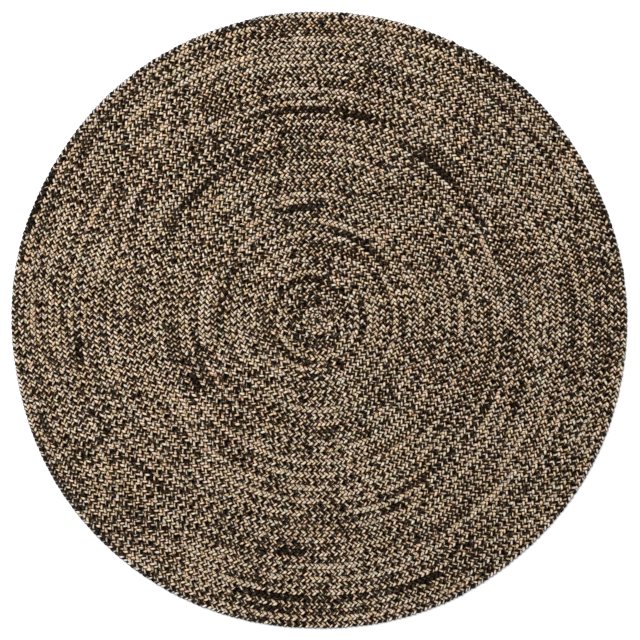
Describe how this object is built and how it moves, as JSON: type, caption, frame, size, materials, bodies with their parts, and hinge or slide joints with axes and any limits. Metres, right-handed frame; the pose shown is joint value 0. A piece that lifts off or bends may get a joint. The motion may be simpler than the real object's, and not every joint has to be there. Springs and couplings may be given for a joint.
{
  "type": "round braided jute rug",
  "caption": "Round flat rug of two jute plaits, one natural and one darker, coiled side by side from the middle and sewn edge to edge.",
  "frame": {"origin": "middle of the flat underside, on the floor", "axes": "+Z up from the floor to the plaited face; +X to the right and +Y up in the picture"},
  "size_m": [1.1966, 1.1987, 0.009],
  "materials": {
    "jute_plait": "matt natural and black jute, plaited"
  },
  "bodies": {
    "root": {"braided_rug": "jute_plait"}
  },
  "joints": []
}
